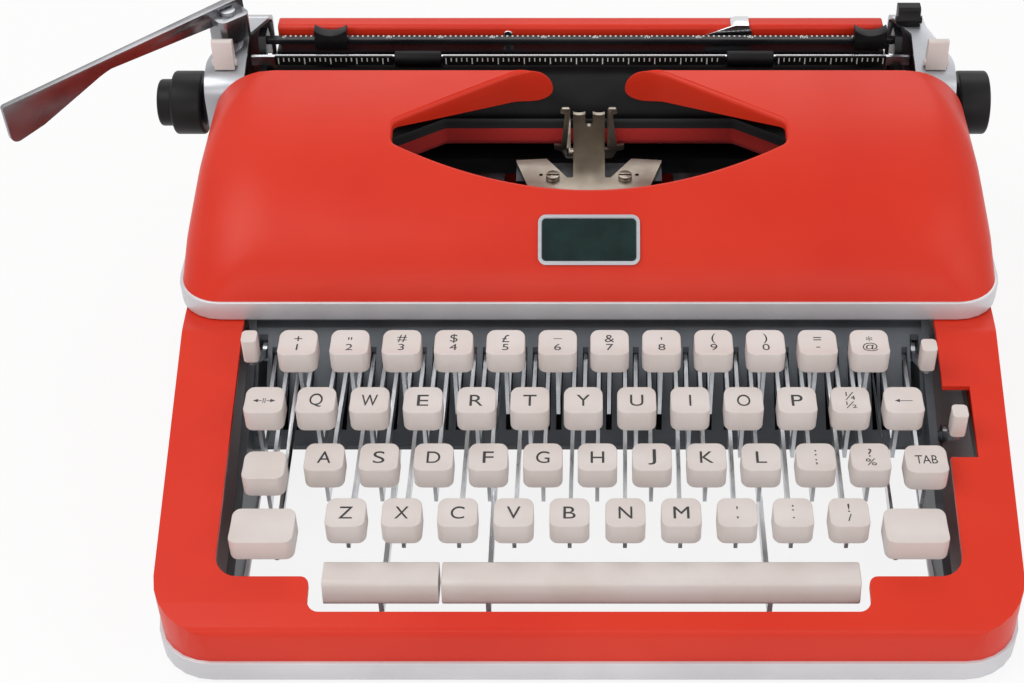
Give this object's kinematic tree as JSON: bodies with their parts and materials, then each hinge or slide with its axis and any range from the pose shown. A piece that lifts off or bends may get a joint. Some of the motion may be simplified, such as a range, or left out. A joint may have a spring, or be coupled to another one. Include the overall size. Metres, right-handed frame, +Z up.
{
  "type": "manual typewriter",
  "caption": "Portable manual typewriter with a red steel case, cream keys, a hinged ribbon cover and a sliding carriage with platen, paper bail and return lever.",
  "frame": {"origin": "on the desk under the middle of the ribbon cover's front edge", "axes": "+X to the typist's right, +Y away from the typist, +Z up from the desk"},
  "size_m": [0.3845, 0.2629, 0.1301],
  "materials": {
    "red_enamel": "satin",
    "silver_trim": "satin",
    "cream_plastic": "satin",
    "lever_steel": "zinc plated",
    "dark_frame": "semi matte",
    "black_rubber": "matte",
    "black_plastic": "satin",
    "ribbon_cloth": "inked",
    "bell_brass": "polished",
    "badge_enamel": "gloss",
    "nickel_steel": "nickel plated",
    "dark_steel": "blackened"
  },
  "bodies": {
    "chassis": {"base_frame": "silver_trim", "rubber_feet": "black_rubber", "lower_case": "red_enamel", "main_frame": "dark_frame", "bottom_pan": "dark_frame", "key_comb": "dark_frame", "pivot_shaft": "lever_steel", "segment": "nickel_steel", "type_bars": "lever_steel", "type_guide": "nickel_steel", "guide_screws": "nickel_steel", "case_screws": "lever_steel", "hinge_pins": "lever_steel", "margin_bell": "bell_brass", "ribbon": "ribbon_cloth"},
    "cover": {"ribbon_cover": "red_enamel", "cover_trim": "silver_trim", "badge_plate": "badge_enamel"},
    "bottom_row": {"bottom_row_caps": "cream_plastic", "bottom_row_levers": "lever_steel"},
    "home_row": {"home_row_caps": "cream_plastic", "home_row_levers": "lever_steel"},
    "upper_row": {"upper_row_caps": "cream_plastic", "upper_row_levers": "lever_steel"},
    "number_row": {"number_row_caps": "cream_plastic", "number_row_levers": "lever_steel"},
    "carriage_lift": {"carriage_rail": "lever_steel"},
    "carriage": {"carriage_frame": "dark_frame", "left_end_cover": "silver_trim", "right_end_cover": "silver_trim", "paper_table": "red_enamel", "margin_rail": "lever_steel"},
    "platen": {"platen_roller": "black_rubber", "platen_shaft": "lever_steel", "left_knob": "black_plastic", "right_knob": "black_plastic"},
    "left_shift": {"left_shift": "cream_plastic"},
    "right_shift": {"right_shift": "cream_plastic"},
    "shift_lock": {"shift_lock": "cream_plastic"},
    "margin_release": {"margin_release": "cream_plastic"},
    "backspace": {"backspace": "cream_plastic"},
    "tabulator": {"tabulator": "cream_plastic"},
    "space_bar": {"space_bar": "cream_plastic"},
    "repeat_spacer": {"repeat_spacer": "cream_plastic"},
    "touch_lever": {"touch_lever": "cream_plastic"},
    "ribbon_color_lever": {"ribbon_color_lever": "cream_plastic"},
    "ribbon_reverse_lever": {"ribbon_reverse_lever": "cream_plastic"},
    "left_spool": {"left_spool": "dark_steel"},
    "right_spool": {"right_spool": "dark_steel"},
    "ribbon_carrier": {"ribbon_carrier": "nickel_steel"},
    "return_lever": {"return_lever": "lever_steel"},
    "paper_bail": {"paper_bail": "lever_steel"},
    "left_bail_roller": {"left_bail_roller": "black_rubber"},
    "right_bail_roller": {"right_bail_roller": "black_rubber"},
    "left_margin_stop": {"left_margin_stop": "dark_steel"},
    "right_margin_stop": {"right_margin_stop": "dark_steel"},
    "paper_guide": {"paper_guide": "lever_steel"},
    "left_carriage_release": {"left_carriage_release": "cream_plastic"},
    "right_carriage_release": {"right_carriage_release": "cream_plastic"},
    "paper_release": {"paper_release": "black_plastic"}
  },
  "joints": [
    {"name": "cover_hinge", "type": "hinge", "parent": "chassis", "child": "cover", "pos_m": [0, 0.082, 0.1095], "axis": [-1, 0, 0], "range_deg": [0, 55]},
    {"name": "bottom_row_press", "type": "hinge", "parent": "chassis", "child": "bottom_row", "pos_m": [0, 0.06, 0.036], "axis": [1, 0, 0], "range_deg": [0, 3.6], "stiffness_Nm_per_rad": 1.2, "springref_deg": -14.32},
    {"name": "home_row_press", "type": "hinge", "parent": "chassis", "child": "home_row", "pos_m": [0, 0.06, 0.036], "axis": [1, 0, 0], "range_deg": [0, 4.2], "stiffness_Nm_per_rad": 1.2, "springref_deg": -14.32},
    {"name": "upper_row_press", "type": "hinge", "parent": "chassis", "child": "upper_row", "pos_m": [0, 0.06, 0.036], "axis": [1, 0, 0], "range_deg": [0, 4.6], "stiffness_Nm_per_rad": 1.2, "springref_deg": -14.32},
    {"name": "number_row_press", "type": "hinge", "parent": "chassis", "child": "number_row", "pos_m": [0, 0.06, 0.036], "axis": [1, 0, 0], "range_deg": [0, 5], "stiffness_Nm_per_rad": 1.2, "springref_deg": -14.32},
    {"name": "carriage_lift", "type": "slide", "parent": "chassis", "child": "carriage_lift", "axis": [0, 0, 1], "range_m": [0, 0.005]},
    {"name": "left_shift_press", "type": "hinge", "parent": "chassis", "child": "left_shift", "pos_m": [0, 0.06, 0.036], "axis": [1, 0, 0], "range_deg": [0, 3.6]},
    {"name": "right_shift_press", "type": "hinge", "parent": "chassis", "child": "right_shift", "pos_m": [0, 0.06, 0.036], "axis": [1, 0, 0], "range_deg": [0, 3.6]},
    {"name": "shift_lock_press", "type": "hinge", "parent": "chassis", "child": "shift_lock", "pos_m": [0, 0.06, 0.036], "axis": [1, 0, 0], "range_deg": [0, 2.1], "stiffness_Nm_per_rad": 0.3, "springref_deg": -14.32},
    {"name": "margin_release_press", "type": "hinge", "parent": "chassis", "child": "margin_release", "pos_m": [0, 0.06, 0.036], "axis": [1, 0, 0], "range_deg": [0, 4.6], "stiffness_Nm_per_rad": 0.3, "springref_deg": -14.32},
    {"name": "backspace_press", "type": "hinge", "parent": "chassis", "child": "backspace", "pos_m": [0, 0.06, 0.036], "axis": [1, 0, 0], "range_deg": [0, 4.6], "stiffness_Nm_per_rad": 0.3, "springref_deg": -14.32},
    {"name": "tabulator_press", "type": "hinge", "parent": "chassis", "child": "tabulator", "pos_m": [0, 0.06, 0.036], "axis": [1, 0, 0], "range_deg": [0, 4.2], "stiffness_Nm_per_rad": 0.3, "springref_deg": -14.32},
    {"name": "space_bar_press", "type": "hinge", "parent": "chassis", "child": "space_bar", "pos_m": [0, 0.06, 0.036], "axis": [1, 0, 0], "range_deg": [0, 3], "stiffness_Nm_per_rad": 0.6, "springref_deg": -14.32},
    {"name": "repeat_spacer_press", "type": "hinge", "parent": "chassis", "child": "repeat_spacer", "pos_m": [0, 0.06, 0.036], "axis": [1, 0, 0], "range_deg": [0, 3], "stiffness_Nm_per_rad": 0.3, "springref_deg": -14.32},
    {"name": "touch_lever_turn", "type": "hinge", "parent": "chassis", "child": "touch_lever", "pos_m": [0, 0, 0.046], "axis": [1, 0, 0], "range_deg": [-6, 6]},
    {"name": "ribbon_color_turn", "type": "hinge", "parent": "chassis", "child": "ribbon_color_lever", "pos_m": [0, 0, 0.046], "axis": [1, 0, 0], "range_deg": [-6, 6]},
    {"name": "ribbon_reverse_turn", "type": "hinge", "parent": "chassis", "child": "ribbon_reverse_lever", "pos_m": [0, -0.034, 0.034], "axis": [1, 0, 0], "range_deg": [-6, 6]},
    {"name": "left_spool_turn", "type": "hinge", "parent": "chassis", "child": "left_spool", "pos_m": [-0.096, 0.0515, 0.08], "axis": [0, 0, 1], "continuous": true},
    {"name": "right_spool_turn", "type": "hinge", "parent": "chassis", "child": "right_spool", "pos_m": [0.096, 0.0515, 0.08], "axis": [0, 0, 1], "continuous": true},
    {"name": "ribbon_carrier_rise", "type": "slide", "parent": "chassis", "child": "ribbon_carrier", "axis": [0, 0, 1], "range_m": [0, 0.008]},
    {"name": "carriage_travel", "type": "slide", "parent": "carriage_lift", "child": "carriage", "axis": [-1, 0, 0], "range_m": [-0.095, 0.095]},
    {"name": "platen_turn", "type": "hinge", "parent": "carriage", "child": "platen", "pos_m": [-0.0035, 0.1085, 0.086], "axis": [1, 0, 0], "continuous": true},
    {"name": "return_lever_swing", "type": "hinge", "parent": "carriage", "child": "return_lever", "pos_m": [-0.1445, 0.1125, 0.1154], "axis": [0, 0, 1], "range_deg": [0, 30], "stiffness_Nm_per_rad": 0.4, "springref_deg": -5.73},
    {"name": "paper_bail_lift", "type": "hinge", "parent": "carriage", "child": "paper_bail", "pos_m": [-0.0035, 0.121, 0.094], "axis": [-1, 0, 0], "range_deg": [0, 12]},
    {"name": "left_bail_roller_turn", "type": "hinge", "parent": "paper_bail", "child": "left_bail_roller", "pos_m": [-0.0695, 0.1113, 0.1057], "axis": [1, 0, 0], "continuous": true},
    {"name": "right_bail_roller_turn", "type": "hinge", "parent": "paper_bail", "child": "right_bail_roller", "pos_m": [0.0655, 0.1113, 0.1057], "axis": [1, 0, 0], "continuous": true},
    {"name": "left_margin_set", "type": "slide", "parent": "carriage", "child": "left_margin_stop", "axis": [1, 0, 0], "range_m": [-0.015, 0.08]},
    {"name": "right_margin_set", "type": "slide", "parent": "carriage", "child": "right_margin_stop", "axis": [1, 0, 0], "range_m": [-0.08, 0.002]},
    {"name": "paper_guide_set", "type": "slide", "parent": "carriage", "child": "paper_guide", "axis": [1, 0, 0], "range_m": [-0.02, 0.02]},
    {"name": "left_carriage_release_pull", "type": "hinge", "parent": "carriage", "child": "left_carriage_release", "pos_m": [-0.146, 0.101, 0.1106], "axis": [1, 0, 0], "range_deg": [0, 10], "stiffness_Nm_per_rad": 0.05, "springref_deg": -11.46},
    {"name": "right_carriage_release_pull", "type": "hinge", "parent": "carriage", "child": "right_carriage_release", "pos_m": [0.139, 0.101, 0.1106], "axis": [1, 0, 0], "range_deg": [0, 10], "stiffness_Nm_per_rad": 0.05, "springref_deg": -11.46},
    {"name": "paper_release_pull", "type": "hinge", "parent": "carriage", "child": "paper_release", "pos_m": [0.13, 0.1216, 0.1174], "axis": [1, 0, 0], "range_deg": [0, 12], "stiffness_Nm_per_rad": 0.05, "springref_deg": -11.46}
  ],
  "couplings": [
    {"joint": "left_shift_press", "follows": "carriage_lift", "rad_per_m": 12.5},
    {"joint": "right_shift_press", "follows": "carriage_lift", "rad_per_m": 12.5},
    {"joint": "right_spool_turn", "follows": "left_spool_turn", "ratio": 1}
  ]
}
